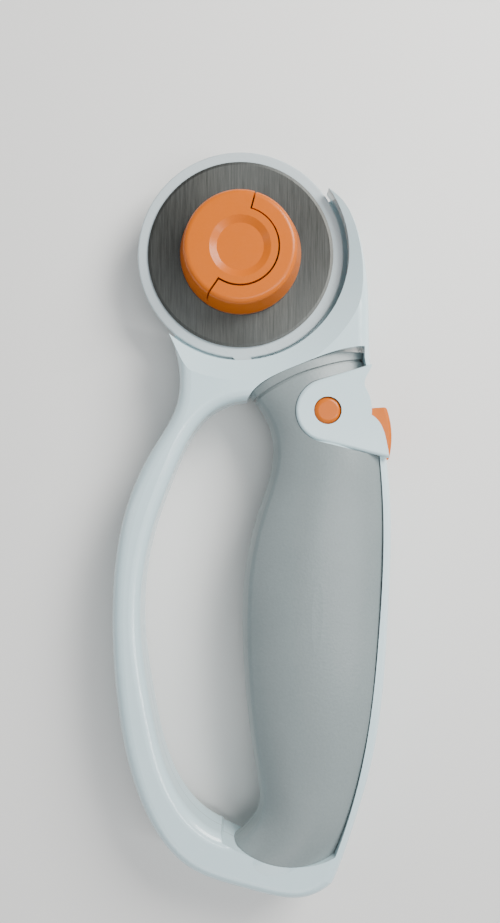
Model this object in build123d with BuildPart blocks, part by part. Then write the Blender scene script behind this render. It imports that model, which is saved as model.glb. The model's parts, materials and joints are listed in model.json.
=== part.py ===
from build123d import *
import math
import os

os.makedirs("parts", exist_ok=True)

# A 45 mm rotary cutter with a closed loop handle, lying on its back. Millimetres.
# The origin is on the blade's axis at the resting plane. +Z points out of the blade side,
# +Y to the top of the head, -Y down the handle, +X to the thumb side and -X to the loop.

# ---------------------------------------------------------------- driving dimensions
blade_radius = 22.5
blade_thickness = 0.3
bevel_width = 0.7
arbor_radius = 3.95          # the spindle's journal
bore_radius = 4.0            # what turns or sits on the journal

parting = 11.0               # the plane where the two shells meet
plate_back, plate_front = 4.0, 18.0
edge_round, window_round = 3.0, 2.6     # outer and inner rounding of the loop and the neck
hub_radius = 18.3            # back of the head, smaller than the retracted guard
boss_radius = 11.0           # the flat rest face

guard_radius = 25.1
guard_back, guard_front = 10.1, 11.9
guard_slot_back, guard_slot_front = 9.8, 12.2
guard_travel = 5.0
slide_angle = -49.0          # the way the guard retracts, from +X
shoulder_radius = 5.5
cradle_radius = 26.0         # wall of the front shell round the blade

pivot = (20.5, -38.2)        # the thumb lever's axis
trunnion_radius = 3.2
trunnion_bore = 3.25
trunnion_dome = 1.1          # rounding of the trunnions' ends
lever_back, lever_front = 6.9, 15.1
disc_front = 9.6             # top of the lever's base disc
pocket_back, pocket_front = 6.5, 15.5
pocket_radius = 9.6
disc_radius = 9.2
crank_radius = 6.8
crank_angle = 199.45         # where the drive pin stands with the guard out
tongue_lateral = -16.15      # the guard's tongue, off the slide's centre line
tongue_half_width = 1.6
eye_radius = 2.4
pin_radius = 1.0
swing = 43.1                 # the lever's travel

flag_radius = 7.5            # hard panel round the lever's axis
top_ray, foot_ray = 16.5, -13.6
flag_front, flag_round = 19.5, 0.8
grip_thickness = 1.4
wall = 4.2                   # grip and shell together, over the handle's hollow
seam = 0.12                  # hairline gap round the soft grips
groove_width, groove_depth = 0.8, 0.7   # the groove that sets off the grip's collar

cap_back, cap_front = 12.7, 20.6
cap_floor = 15.2             # the latch slides on this
cap_base_radius, cap_top_radius = 14.6, 12.7
latch_front = 20.9
latch_disc_radius = 8.9
latch_gap = 0.4
latch_angle = 155.0          # the way the latch slides
latch_half_sector = 80.0
latch_travel = 2.5

screw_sites = [(-8.5, -31.0), (26.0, -20.4), (-20.4, -130.6), (10.0, -148.4)]
screw_head_radius, screw_shank_radius = 2.2, 1.2


def polar(radius, angle, centre=(0.0, 0.0)):
    """A point at a radius and an angle in degrees round a centre."""
    turn = math.radians(angle)
    return (centre[0] + radius * math.cos(turn), centre[1] + radius * math.sin(turn))


def slide_point(along, lateral):
    """A point by its distance along the guard's slide and to the left of it."""
    return polar(lateral, slide_angle + 90, polar(along, slide_angle))


pin_home = polar(crank_radius, crank_angle, pivot)
eye_along = Vector(*pin_home).dot(Vector(*polar(1.0, slide_angle)))

# ---------------------------------------------------------------- shared outlines
with BuildSketch() as outline:
    with BuildLine():
        loop_side = Spline(
            polar(25.9, 228), (-14.7, -27.8), (-15.4, -37.0), (-20.9, -47.0), (-26.9, -60.0), (-30.6, -86.0),
            (-29.2, -109.0), (-23.9, -131.0), (-12.8, -146.6), (2.0, -152.2), (14.8, -154.1), (21.9, -150.6))
        thumb_side = Spline(
            loop_side @ 1, (25.5, -141.5), (32.1, -118.3), (35.3, -86.0), (35.9, -62.0), (33.9, -43.0),
            (31.0, -26.0), (30.6, -12.0), (29.2, 0.5), (25.4, 11.0), polar(25.9, 36.5),
            tangents=[(0.5, 1.0), (-1.0, 0.75)])
        ThreePointArc(thumb_side @ 1, polar(25.9, 125), loop_side @ 0)
    make_face()

with BuildSketch() as window:
    with BuildLine():
        Spline(
            (1.5, -35.7), (-8.9, -40.3), (-16.0, -52.8), (-21.9, -70.0), (-23.8, -90.0), (-21.4, -108.5),
            (-15.6, -128.1), (-8.3, -136.9), (-1.4, -139.6), (8.0, -134.0), (12.0, -108.0), (12.0, -70.0),
            (9.0, -42.0), periodic=True)
    make_face()


def grip_zone(gap):
    """The soft grip's outline, its neck, spine and heel edges moved in by a gap."""
    with BuildSketch() as zone:
        with BuildLine():
            neck_line = Spline(
                [(x, y - gap) for x, y in
                 ((1.6, -35.4), (4.2, -32.2), (8.0, -29.8), (14.8, -26.9), (22.0, -24.2), (29.4, -22.9))])
            spine_line = Spline(
                [(x - gap, y) for x, y in
                 ((29.4, -25.6), (32.6, -46.0), (33.8, -64.0), (32.7, -92.0), (29.6, -118.0), (22.4, -143.6))])
            heel_line = Spline(
                spine_line @ 1, *[(x, y + gap) for x, y in ((14.1, -145.9), (4.6, -144.3), (-4.2, -140.4))])
            Line(neck_line @ 1, spine_line @ 0)
            Polyline(heel_line @ 1, (-5.0, -138.0), (-2.0, -134.0), (-2.0, -60.0), neck_line @ 0)
        make_face()
    return zone.sketch


def flag_zone(gap):
    """The hard panel round the lever's axis and out past the thumb side, widened by a gap."""
    with BuildSketch() as zone:
        with BuildLine():
            top_tangent = polar(flag_radius + gap, top_ray + 90, pivot)
            foot_tangent = polar(flag_radius + gap, foot_ray - 90, pivot)
            ThreePointArc(foot_tangent, polar(flag_radius + gap, 180, pivot), top_tangent)
            Polyline(
                top_tangent, polar(24.0, top_ray, top_tangent), polar(24.0, foot_ray, foot_tangent),
                foot_tangent)
        make_face()
    return zone.sketch


with BuildSketch() as thumb_notch:
    with BuildLine():
        inner = ThreePointArc(polar(10.3, -6, pivot), polar(10.3, 13, pivot), polar(10.3, 31, pivot))
        upper = Spline(inner @ 1, (29.3, -30.8), (30.6, -28.3), (31.1, -25.9), tangents=[inner % 1, (0.2, 1.0)])
        lower = Spline((35.5, -50.3), (34.1, -44.9), (32.8, -41.3), inner @ 0)
        Polyline(upper @ 1, (45.0, -25.9), (45.0, -50.3), lower @ 0)
    make_face()

# ---------------------------------------------------------------- handle sections
# Each station: y, left edge, right edge, half height of the crown.
stations = [
    (-24, -4.0, 30.2, 6.4), (-33, 1.0, 32.0, 8.0), (-41, 6.6, 34.1, 9.2), (-50, 7.9, 35.3, 10.1),
    (-62, 4.5, 35.9, 10.7), (-78, 1.0, 35.5, 11.0), (-95, 0.6, 34.7, 11.0), (-112, 1.9, 33.0, 10.7),
    (-126, 4.0, 30.0, 9.9), (-134, 4.4, 27.7, 9.2), (-142, -2.0, 25.0, 8.2), (-150, -6.0, 22.4, 6.6)]


def handle_body(inset, rows):
    """The crowned handle lofted through the stations, every wall moved in by the inset."""
    with BuildPart() as body:
        for y, left, right, crown in rows:
            half = (right - left) / 2 - inset
            middle = (left + right) / 2
            height = crown - inset
            shoulder = 0.52 * height
            tuck = 0.09 * half
            with BuildSketch(Plane.XZ.offset(-y)):
                with BuildLine():
                    for side in (1, -1):
                        ThreePointArc(
                            (middle - side * (half - tuck), parting + side * shoulder),
                            (middle, parting + side * height),
                            (middle + side * (half - tuck), parting + side * shoulder))
                        ThreePointArc(
                            (middle + side * (half - tuck), parting + side * shoulder),
                            (middle + side * half, parting),
                            (middle + side * (half - tuck), parting - side * shoulder))
                make_face()
                fillet(vertices(), 3.2 - 0.6 * inset)
        loft()
    return body.part


handle_outside = handle_body(0.0, stations)
handle_core = handle_body(grip_thickness, stations)
handle_groove = handle_body(groove_depth, stations)
handle_hollow = handle_body(wall, stations[4:9])


def prism(sketch, back, front):
    """A straight block on a shared outline, used for cutting and for keeping."""
    with BuildPart() as block:
        with BuildSketch(Plane.XY.offset(back)):
            add(sketch)
        extrude(amount=front - back)
    return block.part


def straight_slot(radius, start, finish):
    """Sketch a slot with round ends between two points, in the sketch that is open."""
    run = Vector(*finish) - Vector(*start)
    with Locations(Vector(*start) + run / 2):
        SlotCenterToCenter(run.length, 2 * radius, rotation=math.degrees(math.atan2(run.Y, run.X)))


flag_back = 2 * parting - flag_front
grip_pocket = prism(grip_zone(0.0), -1.0, 23.0)

# The hard panel round the lever's axis stands proud on both sides, with a rounded rim.
with BuildPart() as panel_block:
    with BuildSketch(Plane.XY.offset(flag_back)):
        add(flag_zone(0.0))
    extrude(amount=flag_front - flag_back)
    fillet(faces().filter_by(Axis.Z).edges(), flag_round)
    add(prism(outline, flag_back, flag_front), mode=Mode.INTERSECT)
hard_panel = panel_block.part

# ---------------------------------------------------------------- both shells as one block
with BuildPart() as body_block:
    with BuildSketch(Plane.XY.offset(plate_back)):
        add(outline.sketch)
    extrude(amount=plate_front - plate_back)
    fillet(faces().filter_by(Axis.Z).edges(), edge_round)
    with BuildSketch(Plane.XY.offset(plate_back)):
        add(window.sketch)
    extrude(amount=plate_front - plate_back, mode=Mode.SUBTRACT)
    window_edges = edges().filter_by(lambda edge: abs(edge.bounding_box().min.X + 23.8) < 0.3)
    fillet(window_edges.filter_by(lambda edge: edge.bounding_box().size.Z < 0.01), window_round)
    # The crowned handle, hollowed by the depth of the soft grips except under the hard panel.
    with BuildSketch(Plane.XY):
        add(grip_zone(0.0))
    extrude(amount=2 * parting, mode=Mode.SUBTRACT)
    add(handle_outside - grip_pocket)
    add(handle_core)
    add(hard_panel)
    # Dished head: everything inside the cradle wall goes, down to the guard's floor.
    with BuildSketch(Plane.XZ):
        Polygon(
            (0.0, guard_slot_back), (cradle_radius, guard_slot_back), (cradle_radius, 15.5),
            (31.0, plate_front), (31.0, 24.0), (0.0, 24.0), align=None)
    revolve(axis=Axis.Z, mode=Mode.SUBTRACT)
    # Back of the head: a small hub, so that the blade shows when the guard is back.
    with BuildSketch(Plane.XY):
        Circle(cradle_radius + 0.6)
        Circle(hub_radius, mode=Mode.SUBTRACT)
        with Locations(polar(4.0 + 40.0, slide_angle)):
            Rectangle(80.0, 120.0, rotation=slide_angle, mode=Mode.SUBTRACT)
    extrude(amount=guard_slot_back, mode=Mode.SUBTRACT)
    with BuildSketch(Plane.XY):
        Circle(boss_radius)
    extrude(amount=plate_back)
    # The guard's slot, and its tongue's slot down to the lever.
    with BuildSketch(Plane.XY.offset(guard_slot_back)):
        straight_slot(guard_radius + 0.5, (0.0, 0.0), polar(guard_travel + 0.3, slide_angle))
        straight_slot(
            tongue_half_width + 0.3, slide_point(15.0, tongue_lateral), slide_point(eye_along, tongue_lateral))
    extrude(amount=guard_slot_front - guard_slot_back, mode=Mode.SUBTRACT)
    # The lever's pocket, the arm's sweep out to the thumb side, and the bores of its trunnions.
    with BuildSketch(Plane.XY.offset(pocket_back)):
        with Locations(pivot):
            Circle(pocket_radius)
        with BuildLine():
            sweep_arc = ThreePointArc(polar(20.3, -45.5, pivot), polar(20.3, 2, pivot), polar(20.3, 49.5, pivot))
            Polyline(sweep_arc @ 1, pivot, sweep_arc @ 0)
        make_face()
    extrude(amount=pocket_front - pocket_back, mode=Mode.SUBTRACT)
    with BuildSketch(Plane.XY):
        with Locations(pivot):
            Circle(trunnion_bore)
        add(thumb_notch.sketch)
    extrude(amount=2 * parting, mode=Mode.SUBTRACT)
    # Detent spring's slot beside the lever's disc.
    with BuildSketch(Plane.XY.offset(pocket_back)):
        with Locations((20.5, -48.2)):
            Rectangle(14.6, 1.6)
    extrude(amount=parting - pocket_back, mode=Mode.SUBTRACT)
    # Spindle's seat in the hub.
    with BuildSketch(Plane.XY.offset(3.0)):
        Circle(3.5)
    extrude(amount=guard_slot_back - 3.0, mode=Mode.SUBTRACT)
    # Screw holes, counterbored from the back.
    with BuildSketch(Plane.XY.offset(plate_back - 1.0)):
        with Locations(screw_sites):
            Circle(screw_head_radius + 0.1)
    extrude(amount=3.6, mode=Mode.SUBTRACT)
    with BuildSketch(Plane.XY.offset(plate_back)):
        with Locations(screw_sites):
            Circle(screw_shank_radius)
    extrude(amount=11.8, mode=Mode.SUBTRACT)
    add(handle_hollow, mode=Mode.SUBTRACT)

# ---------------------------------------------------------------- front_shell and back_shell
with BuildPart() as front_shell:
    add(body_block.part)
    split(bisect_by=Plane.XY.offset(parting), keep=Keep.TOP)
front_shell.part.label = "front_shell"
export_step(front_shell.part, "parts/front_shell.step")

with BuildPart() as back_shell:
    add(body_block.part)
    split(bisect_by=Plane.XY.offset(parting), keep=Keep.BOTTOM)
back_shell.part.label = "back_shell"
export_step(back_shell.part, "parts/back_shell.step")

# ---------------------------------------------------------------- front_grip and back_grip
# Soft overmoulds in the pocket of each shell, wrapped round the finger side.
with BuildPart() as groove_block:
    with BuildSketch(Plane.XY.offset(parting)):
        with BuildLine():
            groove_top = Spline(
                (1.0, -37.4), (3.0, -35.4), (6.6, -32.9), (10.3, -30.9), (14.3, -29.1), (18.9, -27.6),
                (23.4, -26.4), (32.0, -25.6))
            groove_foot = Spline(
                [groove_top.position_at(step / 7) + groove_width * Vector(0.45, -0.9) for step in range(8)])
            Line(groove_top @ 0, groove_foot @ 0)
            Line(groove_top @ 1, groove_foot @ 1)
        make_face()
    extrude(amount=parting)
collar_groove = groove_block.part - handle_groove

with BuildPart() as front_grip:
    with BuildSketch(Plane.XY.offset(parting)):
        add(grip_zone(seam))
        add(flag_zone(seam), mode=Mode.SUBTRACT)
    extrude(amount=parting)
    add(handle_outside, mode=Mode.INTERSECT)
    add(handle_core, mode=Mode.SUBTRACT)
    add(collar_groove, mode=Mode.SUBTRACT)
front_grip.part.label = "front_grip"
export_step(front_grip.part, "parts/front_grip.step")

with BuildPart() as back_grip:
    add(mirror(front_grip.part, about=Plane.XY.offset(parting), mode=Mode.PRIVATE))
back_grip.part.label = "back_grip"
export_step(back_grip.part, "parts/back_grip.step")

# ---------------------------------------------------------------- case_screws
with BuildPart() as case_screws:
    with BuildSketch(Plane.XY.offset(plate_back + 0.9)):
        with Locations(screw_sites):
            Circle(screw_head_radius)
    extrude(amount=1.7)
    with BuildSketch(Plane.XY.offset(plate_back + 2.6)):
        with Locations(screw_sites):
            Circle(screw_shank_radius)
    extrude(amount=8.4)
    with BuildSketch(Plane.XY.offset(plate_back + 0.9)):
        with Locations(screw_sites):
            Rectangle(2.6, 0.6)
            Rectangle(0.6, 2.6)
    extrude(amount=0.9, mode=Mode.SUBTRACT)
case_screws.part.label = "case_screws"
export_step(case_screws.part, "parts/case_screws.step")

# ---------------------------------------------------------------- spindle
with BuildPart() as spindle:
    with BuildSketch(Plane.XZ):
        Polygon(
            (0.0, 3.0), (3.5, 3.0), (3.5, guard_slot_back), (shoulder_radius, guard_slot_back),
            (shoulder_radius, 12.1), (arbor_radius, 12.1), (arbor_radius, 15.0), (2.6, 15.0), (2.6, 17.0),
            (3.6, 17.0), (3.6, 17.8), (3.2, 18.2), (0.0, 18.2), align=None)
    revolve(axis=Axis.Z)
spindle.part.label = "spindle"
export_step(spindle.part, "parts/spindle.step")

# ---------------------------------------------------------------- blade
blade_back = 12.15
blade_front = blade_back + blade_thickness
edge_land = 0.02
with BuildPart() as blade:
    with BuildSketch(Plane.XZ):
        middle = (blade_back + blade_front) / 2
        Polygon(
            (bore_radius, blade_back), (blade_radius - bevel_width, blade_back),
            (blade_radius, middle - edge_land), (blade_radius, middle + edge_land),
            (blade_radius - bevel_width, blade_front), (bore_radius, blade_front), align=None)
    revolve(axis=Axis.Z)
blade.part.label = "blade"
export_step(blade.part, "parts/blade.step")

# ---------------------------------------------------------------- spring_washer
with BuildPart() as spring_washer:
    with BuildSketch(Plane.XZ):
        Polygon((4.6, 12.9), (9.0, 12.5), (9.0, 12.8), (4.6, 13.2), align=None)
    revolve(axis=Axis.Z)
spring_washer.part.label = "spring_washer"
export_step(spring_washer.part, "parts/spring_washer.step")

# ---------------------------------------------------------------- blade_guard
# A disc wider than the blade, slotted to slide past the spindle, with a tongue to the lever.
with BuildPart() as blade_guard:
    with BuildSketch(Plane.XY.offset(guard_back)):
        Circle(guard_radius)
    extrude(amount=guard_front - guard_back)
    fillet(edges(), 0.5)
    with BuildSketch(Plane.XY.offset(guard_back)):
        straight_slot(
            tongue_half_width, slide_point(15.0, tongue_lateral), slide_point(eye_along, tongue_lateral))
        with Locations(slide_point(eye_along, tongue_lateral)):
            Circle(eye_radius)
    extrude(amount=guard_front - guard_back)
    with BuildSketch(Plane.XY.offset(guard_back)):
        straight_slot(
            shoulder_radius + 0.15, slide_point(0.15, 0.0), slide_point(-guard_travel - 0.15, 0.0))
        straight_slot(
            pin_radius + 0.1, slide_point(eye_along, tongue_lateral - 0.35),
            slide_point(eye_along, tongue_lateral + 0.35))
    extrude(amount=guard_front - guard_back, mode=Mode.SUBTRACT)
blade_guard.part.label = "blade_guard"
export_step(blade_guard.part, "parts/blade_guard.step")

# ---------------------------------------------------------------- thumb_lever
with BuildPart() as trunnions:
    with BuildSketch(Plane.XY.offset(flag_back + 0.1)):
        with Locations(pivot):
            Circle(trunnion_radius)
    extrude(amount=flag_front - flag_back - 0.2)
    fillet(edges().filter_by(GeomType.CIRCLE), trunnion_dome)

with BuildPart() as thumb_tab:
    with BuildSketch(Plane.XY.offset(lever_back)):
        with BuildLine():
            tab_inner = ThreePointArc(polar(10.4, -40, pivot), polar(10.4, -18, pivot), polar(10.4, 4, pivot))
            tab_outer = Spline(polar(14.6, 4, pivot), polar(16.3, -15, pivot), polar(19.4, -40, pivot))
            Line(tab_inner @ 1, tab_outer @ 0)
            Line(tab_outer @ 1, tab_inner @ 0)
        make_face()
    extrude(amount=lever_front - lever_back)
    outer_wall = faces().filter_by(lambda face: face.center().Z < 11.5).sort_by(
        lambda face: (face.center() - Vector(*pivot, face.center().Z)).length)[-1]
    fillet(outer_wall.edges(), 1.0)

with BuildPart() as thumb_lever:
    with BuildSketch(Plane.XY.offset(lever_back)):
        with Locations(pivot):
            Circle(disc_radius)
        with BuildLine():
            arm_arc = ThreePointArc(polar(11.0, -38, pivot), polar(11.0, -18, pivot), polar(11.0, 2, pivot))
            Polyline(arm_arc @ 1, pivot, arm_arc @ 0)
        make_face()
    extrude(amount=disc_front - lever_back)
    with BuildSketch(Plane.XY.offset(lever_back)):
        with Locations(pivot):
            Circle(3.9)
    extrude(amount=lever_front - lever_back)
    add(thumb_tab.part)
    add(trunnions.part)
    # Two detent notches in the disc's rim, and the hole of the drive pin.
    with BuildSketch(Plane.XY.offset(lever_back)):
        with Locations(polar(disc_radius + 0.2, -90, pivot), polar(disc_radius + 0.2, -90 - swing, pivot)):
            Circle(0.85)
    extrude(amount=disc_front - lever_back, mode=Mode.SUBTRACT)
    with BuildSketch(Plane.XY.offset(7.4)):
        with Locations(pin_home):
            Circle(pin_radius)
    extrude(amount=disc_front - 7.4, mode=Mode.SUBTRACT)
thumb_lever.part.label = "thumb_lever"
export_step(thumb_lever.part, "parts/thumb_lever.step")

# ---------------------------------------------------------------- drive_pin
with BuildPart() as drive_pin:
    with BuildSketch(Plane.XY.offset(7.4)):
        with Locations(pin_home):
            Circle(pin_radius)
    extrude(amount=5.2)
    chamfer(faces().sort_by(Axis.Z)[-1].edges(), 0.25)
drive_pin.part.label = "drive_pin"
export_step(drive_pin.part, "parts/drive_pin.step")

# ---------------------------------------------------------------- detent_spring
with BuildPart() as detent_spring:
    with BuildSketch(Plane.XY.offset(7.2)):
        with BuildLine():
            ThreePointArc((13.45, -48.65), (20.5, -48.35), (27.55, -48.65))
            offset(amount=0.25, side=Side.BOTH)
        make_face()
        with Locations((20.5, -48.05)):
            Circle(0.5)
    extrude(amount=2.2)
detent_spring.part.label = "detent_spring"
export_step(detent_spring.part, "parts/detent_spring.step")

# ---------------------------------------------------------------- blade_cap
latch_sector = [latch_angle + step * latch_half_sector for step in (-1.0, -0.5, 0.0, 0.5, 1.0)]
with BuildSketch() as latch_outline:
    Circle(latch_disc_radius)
    Polygon((0.0, 0.0), *[polar(24.0, angle) for angle in latch_sector], align=None)


def knob_turning(top):
    """The turned outside of the orange knob, up to a given height."""
    with BuildPart() as turning:
        with BuildSketch(Plane.XZ):
            Polygon(
                (0.0, cap_back), (cap_base_radius, cap_back), (cap_base_radius, cap_back + 0.9),
                (cap_top_radius + 0.5, top), (0.0, top), align=None)
        revolve(axis=Axis.Z)
        fillet(faces().sort_by(Axis.Z)[-1].edges(), 1.4)
    return turning.part


cap_turning = knob_turning(cap_front)
latch_turning = knob_turning(latch_front)
post_along = 11.0
with BuildPart() as blade_cap:
    add(cap_turning)
    with BuildSketch(Plane.XY.offset(cap_floor)):
        add(latch_outline.sketch)
        offset(amount=latch_gap)
    extrude(amount=cap_front - cap_floor, mode=Mode.SUBTRACT)
    with BuildSketch(Plane.XY.offset(cap_back)):
        Circle(13.2)
    extrude(amount=0.5, mode=Mode.SUBTRACT)
    with BuildSketch(Plane.XY.offset(cap_back)):
        Circle(bore_radius)
    extrude(amount=cap_floor - cap_back, mode=Mode.SUBTRACT)
    with BuildSketch(Plane.XY.offset(cap_floor)):
        with Locations(polar(post_along, latch_angle)):
            Rectangle(1.2, 3.0, rotation=latch_angle)
    extrude(amount=3.1)
blade_cap.part.label = "blade_cap"
export_step(blade_cap.part, "parts/blade_cap.step")

# ---------------------------------------------------------------- release_latch
latch_back = cap_floor + 0.1
pocket_start, pocket_end = 5.0, 12.2
keyhole_end = polar(-latch_travel, latch_angle)
with BuildPart() as release_latch:
    with BuildSketch(Plane.XY.offset(latch_back)):
        add(latch_outline.sketch)
    extrude(amount=latch_front - latch_back)
    add(latch_turning, mode=Mode.INTERSECT)
    with BuildSketch(Plane.XZ):
        Polygon((0.0, 20.1), (5.5, 20.1), (7.2, latch_front), (7.2, 22.0), (0.0, 22.0), align=None)
    revolve(axis=Axis.Z, mode=Mode.SUBTRACT)
    # Keyhole under the spindle's head, room for the head, and the return spring's pocket.
    with BuildSketch(Plane.XY.offset(latch_back)):
        straight_slot(2.9, (0.0, 0.0), keyhole_end)
        with Locations(keyhole_end):
            Circle(3.85)
    extrude(amount=1.55, mode=Mode.SUBTRACT)
    with BuildSketch(Plane.XY.offset(latch_back + 1.55)):
        straight_slot(3.95, (0.0, 0.0), keyhole_end)
    extrude(amount=1.75, mode=Mode.SUBTRACT)
    with BuildSketch(Plane.XY.offset(latch_back)):
        with Locations(polar((pocket_start + pocket_end) / 2, latch_angle)):
            Rectangle(pocket_end - pocket_start, 3.6, rotation=latch_angle)
    extrude(amount=3.5, mode=Mode.SUBTRACT)
release_latch.part.label = "release_latch"
export_step(release_latch.part, "parts/release_latch.step")

# ---------------------------------------------------------------- latch_spring
spring_length = post_along - 0.6 - pocket_start
spring_start = Vector(*polar(pocket_start + 0.2, latch_angle), latch_back + 1.75)
with BuildPart() as latch_spring:
    with BuildLine():
        coil = Helix(
            pitch=0.95, height=spring_length - 0.4, radius=1.3, center=spring_start,
            direction=Vector(*polar(1.0, latch_angle), 0.0))
    with BuildSketch(Plane(origin=coil @ 0, z_dir=coil % 0)):
        Circle(0.2)
    sweep(is_frenet=True)
latch_spring.part.label = "latch_spring"
export_step(latch_spring.part, "parts/latch_spring.step")
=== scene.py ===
import json
import math

import bpy
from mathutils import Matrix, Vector


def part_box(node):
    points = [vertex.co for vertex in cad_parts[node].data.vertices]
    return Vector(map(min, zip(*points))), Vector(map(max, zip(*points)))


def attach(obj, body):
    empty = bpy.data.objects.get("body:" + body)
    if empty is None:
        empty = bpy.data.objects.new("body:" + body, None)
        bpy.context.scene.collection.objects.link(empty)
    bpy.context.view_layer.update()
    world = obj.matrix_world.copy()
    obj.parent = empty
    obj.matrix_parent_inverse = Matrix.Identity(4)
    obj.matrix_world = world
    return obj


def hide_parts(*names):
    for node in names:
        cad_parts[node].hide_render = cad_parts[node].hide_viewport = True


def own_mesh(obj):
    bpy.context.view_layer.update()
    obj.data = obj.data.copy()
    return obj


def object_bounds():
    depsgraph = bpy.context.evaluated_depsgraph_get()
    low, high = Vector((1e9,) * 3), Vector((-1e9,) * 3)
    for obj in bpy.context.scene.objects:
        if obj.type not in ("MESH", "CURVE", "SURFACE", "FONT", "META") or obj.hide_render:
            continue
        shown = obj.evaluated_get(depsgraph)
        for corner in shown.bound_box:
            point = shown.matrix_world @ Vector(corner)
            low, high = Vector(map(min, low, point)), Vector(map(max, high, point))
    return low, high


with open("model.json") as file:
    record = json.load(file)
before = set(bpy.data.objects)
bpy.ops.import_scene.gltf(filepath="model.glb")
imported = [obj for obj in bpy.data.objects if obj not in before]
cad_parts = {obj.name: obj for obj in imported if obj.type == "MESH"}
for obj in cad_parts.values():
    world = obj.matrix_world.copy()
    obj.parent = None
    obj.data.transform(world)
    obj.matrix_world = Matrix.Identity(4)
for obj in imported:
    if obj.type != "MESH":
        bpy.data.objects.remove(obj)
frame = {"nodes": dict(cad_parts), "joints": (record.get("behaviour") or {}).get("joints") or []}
cad_low, cad_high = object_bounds()

# ---------------------------------------------------------------- camera
# The cutter lies on its back and is seen from straight above, a hand's length away, so the
# raised knob and handle lean outwards a little from the middle of the view.
MM = 0.001
view_centre = Vector((2.28, -50.2, 0.0)) * MM
eye_height = 212.0 * MM
camera_data = bpy.data.cameras.new("camera")
camera_data.sensor_width = 36.0
camera_data.lens = 32.1
camera_data.clip_start = 0.01
camera_data.clip_end = 10.0
camera = bpy.data.objects.new("camera", camera_data)
camera.location = (view_centre.x, view_centre.y, eye_height)
bpy.context.scene.collection.objects.link(camera)
bpy.context.scene.camera = camera

# ---------------------------------------------------------------- floor and light
# A pale sheet under the cutter. A large soft box beyond the head on the thumb side is the key. A
# long strip on the same side draws a streak down the handle, with a weak strip on the loop's
# side and a fill from the handle's end.
floor_mesh = bpy.data.meshes.new("floor")
floor_half, floor_gap = 1.2, 0.3 * MM
floor_mesh.from_pydata(
    [(-floor_half, -floor_half, 0), (floor_half, -floor_half, 0), (floor_half, floor_half, 0),
     (-floor_half, floor_half, 0)], [], [(0, 1, 2, 3)])
floor = bpy.data.objects.new("floor", floor_mesh)
floor.location.z = cad_low.z - floor_gap
bpy.context.scene.collection.objects.link(floor)
floor_material = bpy.data.materials.new("floor")
floor_material.use_nodes = True
floor_shader = floor_material.node_tree.nodes["Principled BSDF"]
floor_shader.inputs["Base Color"].default_value = (0.78, 0.77, 0.75, 1.0)
floor_shader.inputs["Roughness"].default_value = 0.7
floor_mesh.materials.append(floor_material)

for lamp_name, lamp_place, lamp_target, lamp_size, lamp_power, lamp_colour in (
        ("key_box", (0.27, 0.20, 0.31), (0.01, -0.02, 0.0), (0.24, 0.24), 3.9, (1.0, 0.985, 0.955)),
        ("streak_strip", (0.32, -0.15, 0.70), (0.01, -0.06, 0.0), (0.06, 0.80), 3.4, (0.95, 0.98, 1.0)),
        ("strip_left", (-0.50, 0.02, 0.34), (-0.01, -0.06, 0.0), (0.10, 0.60), 0.45, (0.93, 0.97, 1.0)),
        ("fill_foot", (-0.12, -0.70, 0.55), (0.0, -0.08, 0.0), (0.6, 0.3), 1.3, (1.0, 1.0, 1.0))):
    lamp_data = bpy.data.lights.new(lamp_name, "AREA")
    lamp_data.shape = "RECTANGLE"
    lamp_data.size, lamp_data.size_y = lamp_size
    lamp_data.energy = lamp_power
    lamp_data.color = lamp_colour
    lamp = bpy.data.objects.new(lamp_name, lamp_data)
    lamp.location = lamp_place
    lamp.rotation_euler = (Vector(lamp_target) - Vector(lamp_place)).to_track_quat("-Z", "Y").to_euler()
    bpy.context.scene.collection.objects.link(lamp)

world = bpy.data.worlds.new("studio")
world.use_nodes = True
world.node_tree.nodes["Background"].inputs["Color"].default_value = (0.93, 0.96, 1.0, 1.0)
world.node_tree.nodes["Background"].inputs["Strength"].default_value = 0.32
bpy.context.scene.world = world


# ---------------------------------------------------------------- hard shells
# The two halves of the body are moulded in a pale blue-grey plastic with a polished skin. They
# meet on the middle plane in a hairline and are screwed together from the back. Handling leaves
# the polish a little uneven.
class Wire:
    """An output socket that sums, products and other maths can be written with."""

    def __init__(self, socket):
        self.socket = socket

    def node(self, kind, settings, inputs, outlet=0):
        """Adds a node: its settings first, then the values or links of its inputs."""
        tree = self.socket.id_data
        made = tree.nodes.new(kind)
        for name, value in settings.items():
            setattr(made, name, value)
        for name, value in inputs.items():
            if isinstance(value, Wire):
                tree.links.new(value.socket, made.inputs[name])
            else:
                made.inputs[name].default_value = value
        return Wire(made.outputs[outlet])

    def maths(self, operation, first, second):
        return self.node("ShaderNodeMath", {"operation": operation}, {0: first, 1: second})

    def __add__(self, other):
        return self.maths("ADD", self, other)

    __radd__ = __add__

    def __mul__(self, other):
        return self.maths("MULTIPLY", self, other)

    __rmul__ = __mul__

    def __sub__(self, other):
        return self.maths("SUBTRACT", self, other)

    def __rsub__(self, other):
        return self.maths("SUBTRACT", other, self)


def new_finish(name, uniform):
    """A material with its shader's even values set, its shader node and the place on the piece."""
    material = bpy.data.materials.new(name)
    material.use_nodes = True
    shader = material.node_tree.nodes["Principled BSDF"]
    for socket, value in uniform.items():
        shader.inputs[socket].default_value = value
    place = Wire(material.node_tree.nodes.new("ShaderNodeTexCoord").outputs["Object"])
    return material, shader, place


def feed(shader, socket, wire):
    """Links a wire to one of the shader's sockets."""
    shader.id_data.links.new(wire.socket, shader.inputs[socket])


def noise(place, per_mm, detail=3.0, roughness=0.5):
    """Soft noise from 0 to 1, with its cells per millimetre."""
    return place.node(
        "ShaderNodeTexNoise", {},
        {"Vector": place, "Scale": per_mm / MM, "Detail": detail, "Roughness": roughness})


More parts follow.
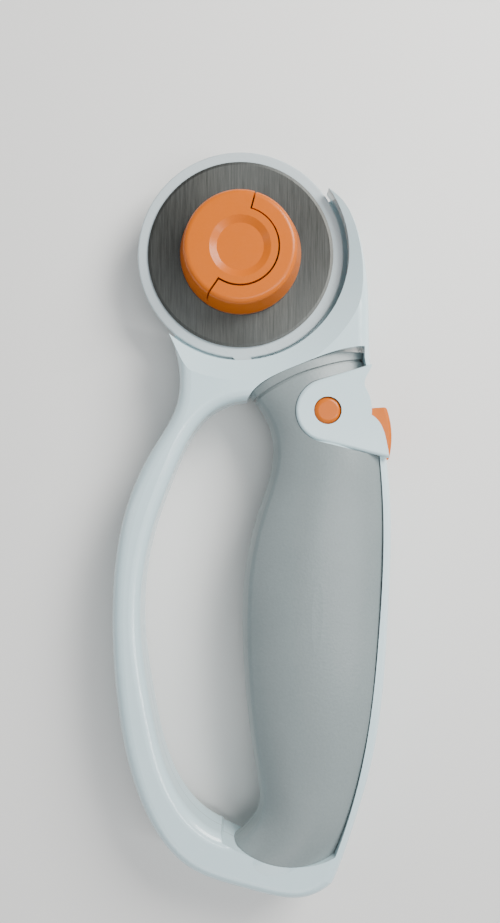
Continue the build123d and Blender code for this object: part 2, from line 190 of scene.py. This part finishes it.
def tint(place, factor, low, high):
    """A colour between two, by a factor. Either may be an even colour or one that varies."""
    low, high = [colour if isinstance(colour, Wire) else (*colour, 1.0) for colour in (low, high)]
    return place.node("ShaderNodeMix", {"data_type": "RGBA"}, {"Factor": factor, 6: low, 7: high}, outlet=2)


def dress(name, material, smooth_angle=40.0):
    """Gives a CAD node its finish and shades its curved faces smooth."""
    piece = frame["nodes"][name]
    piece.data.materials.clear()
    piece.data.materials.append(material)
    piece.data.shade_smooth()
    piece.data.set_sharp_from_angle(angle=math.radians(smooth_angle))


def grit(place, per_mm, depth_mm, strength=0.4):
    """A bump of fine noise, for a moulded or blasted skin."""
    height = noise(place, per_mm, detail=2.0)
    return place.node("ShaderNodeBump", {}, {"Strength": strength, "Distance": depth_mm * MM, "Height": height})


def parting_line(place):
    """A mask of the hairline where the two halves meet, from 0 off the line to 1 on it."""
    split_height, half_width = 11.0 * MM, 0.13 * MM
    height = place.node("ShaderNodeSeparateXYZ", {}, {"Vector": place}, outlet="Z")
    off_line = place.node("ShaderNodeMath", {"operation": "ABSOLUTE"}, {0: height - split_height})
    return off_line.node(
        "ShaderNodeMapRange", {"interpolation_type": "SMOOTHSTEP"},
        {"Value": off_line, "From Min": half_width * 0.3, "From Max": half_width, "To Min": 1.0, "To Max": 0.0})


shell_finish, shell_shader, shell_place = new_finish(
    "pale_gloss_shell", {"IOR": 1.50, "Coat Weight": 0.35, "Coat Roughness": 0.05})
flow = noise(shell_place, 0.03)
handled = noise(shell_place, 0.4, detail=5.0)
mottled = noise(shell_place, 4.0, detail=2.0)
shell_body = tint(shell_place, flow, (0.50, 0.67, 0.72), (0.57, 0.74, 0.78))
shell_skin = tint(shell_place, mottled * 0.25 + handled * 0.2, shell_body, (0.66, 0.78, 0.81))
line_strength = 0.7
shell_line = parting_line(shell_place) * line_strength
feed(shell_shader, "Base Color", tint(shell_place, shell_line, shell_skin, (0.16, 0.20, 0.21)))
feed(shell_shader, "Roughness", handled * 0.14 + 0.16)
feed(shell_shader, "Normal", grit(shell_place, 0.8, 0.02, 0.15))
for shell_name in ("front_shell", "back_shell"):
    dress(shell_name, shell_finish)

# ---------------------------------------------------------------- soft grips
# A grey thermoplastic rubber moulded over each shell. Its skin takes a fine grain from the
# mould, and its sheen varies a little where it is held.
grip_finish, grip_shader, grip_place = new_finish("soft_grip_rubber", {"IOR": 1.48, "Sheen Weight": 0.15})
grip_cloud = noise(grip_place, 0.06)
grip_grain = noise(grip_place, 1.7, detail=4.0, roughness=0.6)
grip_body = tint(grip_place, grip_cloud, (0.165, 0.200, 0.203), (0.205, 0.245, 0.248))
grip_skin = tint(grip_place, grip_grain * 0.4, grip_body, (0.30, 0.345, 0.35))
grip_line = parting_line(grip_place) * line_strength
feed(grip_shader, "Base Color", tint(grip_place, grip_line, grip_skin, (0.06, 0.075, 0.075)))
feed(grip_shader, "Roughness", noise(grip_place, 0.15) * 0.1 + grip_grain * 0.1 + 0.26)
feed(grip_shader, "Normal", grit(grip_place, 1.7, 0.08, 0.5))
for grip_name in ("front_grip", "back_grip"):
    dress(grip_name, grip_finish)

# ---------------------------------------------------------------- blade guard
# A disc of a slightly darker grey plastic, a little wider than the blade. The thumb lever slides
# it down into the head, which leaves fine scuffs along the slide.
guard_finish, guard_shader, guard_place = new_finish("grey_guard_plastic", {"IOR": 1.5, "Coat Weight": 0.2})
slide_turn = math.radians(49.0)
along = guard_place.node("ShaderNodeMapping", {}, {"Vector": guard_place, "Rotation": (0.0, 0.0, slide_turn)})
scuffed = along.node("ShaderNodeMapping", {}, {"Vector": along, "Scale": (0.08, 1.6, 1.0)})
scuffs = noise(scuffed, 2.0, detail=3.0)
guard_body = tint(guard_place, noise(guard_place, 0.04), (0.44, 0.515, 0.54), (0.49, 0.565, 0.59))
feed(guard_shader, "Base Color", tint(guard_place, scuffs * 0.3, guard_body, (0.58, 0.63, 0.64)))
feed(guard_shader, "Roughness", scuffs * 0.22 + 0.2)
dress("blade_guard", guard_finish)

# ---------------------------------------------------------------- blade
# A 45 mm disc of dark coated tool steel. It is ground along one direction before it is punched,
# so its grain is straight, and the bevel is ground round the edge afterwards.
blade_finish, blade_shader, blade_place = new_finish(
    "dark_tool_steel", {"Anisotropic": 0.5, "Coat Roughness": 0.3})
across = blade_place.node("ShaderNodeMapping", {}, {"Vector": blade_place, "Scale": (1.0, 0.035, 1.0)})
grain = noise(across, 3.0, detail=6.0, roughness=0.75)
scratches = noise(across, 9.0, detail=2.0, roughness=0.5)
grain_line = grain.node("ShaderNodeMapRange", {}, {"Value": grain, "From Min": 0.3, "From Max": 0.7})
patina = noise(blade_place, 0.06, detail=3.0)
dark_face = tint(blade_place, grain_line, (0.040, 0.038, 0.031), (0.105, 0.104, 0.095))
warm_face = tint(blade_place, patina * 0.5, dark_face, (0.10, 0.115, 0.12))
feed(blade_shader, "Base Color", warm_face)
feed(blade_shader, "Metallic", scratches * 0.2 + 0.75)
feed(blade_shader, "Roughness", grain * 0.2 + 0.34)
feed(blade_shader, "Normal", blade_place.node(
    "ShaderNodeBump", {}, {"Strength": 0.35, "Distance": 0.02 * MM, "Height": grain}))
dress("blade", blade_finish, smooth_angle=20.0)

# ---------------------------------------------------------------- knob and thumb lever
# The knob's cap, its latch and the thumb lever are moulded in one bright orange plastic. The
# cap fits over the spindle's head, the latch slides in the cap, and the lever turns on its own
# trunnions between the shells.
orange_finish, orange_shader, orange_place = new_finish(
    "orange_plastic", {"IOR": 1.48, "Coat Weight": 0.06, "Coat Roughness": 0.15, "Specular IOR Level": 0.3})
orange_flow = noise(orange_place, 0.08)
orange_mottle = noise(orange_place, 2.0, detail=3.0)
orange_body = tint(orange_place, orange_flow, (0.50, 0.105, 0.002), (0.57, 0.125, 0.003))
feed(orange_shader, "Base Color", tint(orange_place, orange_mottle * 0.25, orange_body, (0.70, 0.17, 0.008)))
feed(orange_shader, "Roughness", noise(orange_place, 0.6, detail=4.0) * 0.14 + 0.27)
feed(orange_shader, "Normal", grit(orange_place, 1.2, 0.02, 0.2))
for orange_name in ("blade_cap", "release_latch", "thumb_lever"):
    dress(orange_name, orange_finish)

# ---------------------------------------------------------------- small steel parts
# The spindle, drive pin and case screws are turned steel, and the washer and the detent spring
# are pressed from spring strip. All of them are plated bright and lightly handled.
steel_finish, steel_shader, steel_place = new_finish("bright_steel", {"Metallic": 1.0})
steel_cloud = noise(steel_place, 0.5, detail=4.0)
feed(steel_shader, "Base Color", tint(steel_place, steel_cloud, (0.42, 0.425, 0.43), (0.62, 0.62, 0.63)))
feed(steel_shader, "Roughness", noise(steel_place, 3.0, detail=3.0) * 0.2 + 0.18)
for steel_name in ("spindle", "spring_washer", "drive_pin", "detent_spring", "case_screws"):
    dress(steel_name, steel_finish)

# ---------------------------------------------------------------- latch's return spring
# A small coil of spring wire in the latch's pocket. Its outer end bears on the cap's post and its inner end on
# the latch, so in use it closes up towards the post as the latch slides. The coil built here keeps one fixed
# shape and hangs on the handle.
spring_low, spring_high = [Vector(corner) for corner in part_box("latch_spring")]
spring_centre = (spring_low + spring_high) / 2
slide_way = Vector(next(joint["axis"] for joint in frame["joints"] if joint["name"] == "latch_slide"))
slide_side = slide_way.cross(Vector((0.0, 0.0, 1.0)))
coil_length, coil_radius, wire_radius, coil_pitch = 5.0 * MM, 1.3 * MM, 0.2 * MM, 0.95 * MM
steps_per_turn, wire_sides = 20, 8
coil_steps = round(coil_length / coil_pitch * steps_per_turn)
wire_points, wire_faces = [], []
for step in range(coil_steps + 1):
    turn = 2.0 * math.pi * step / steps_per_turn
    outward = math.cos(turn) * slide_side + math.sin(turn) * Vector((0.0, 0.0, 1.0))
    middle = spring_centre + slide_way * (step / coil_steps - 0.5) * coil_length + outward * coil_radius
    for corner in range(wire_sides):
        round_wire = 2.0 * math.pi * corner / wire_sides
        wire_points.append(
            middle + wire_radius * (math.cos(round_wire) * outward + math.sin(round_wire) * slide_way))
        if step:
            here, beside = step * wire_sides + corner, step * wire_sides + (corner + 1) % wire_sides
            wire_faces.append((here - wire_sides, beside - wire_sides, beside, here))
wire_faces.append(tuple(reversed(range(wire_sides))))
wire_faces.append(tuple(range(coil_steps * wire_sides, (coil_steps + 1) * wire_sides)))
coil_mesh = bpy.data.meshes.new("return_coil")
coil_mesh.from_pydata(wire_points, [], wire_faces)
coil_mesh.materials.append(steel_finish)
coil_mesh.shade_smooth()
coil = bpy.data.objects.new("return_coil", coil_mesh)
bpy.context.scene.collection.objects.link(coil)
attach(coil, "handle")
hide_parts("latch_spring")
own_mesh(coil)
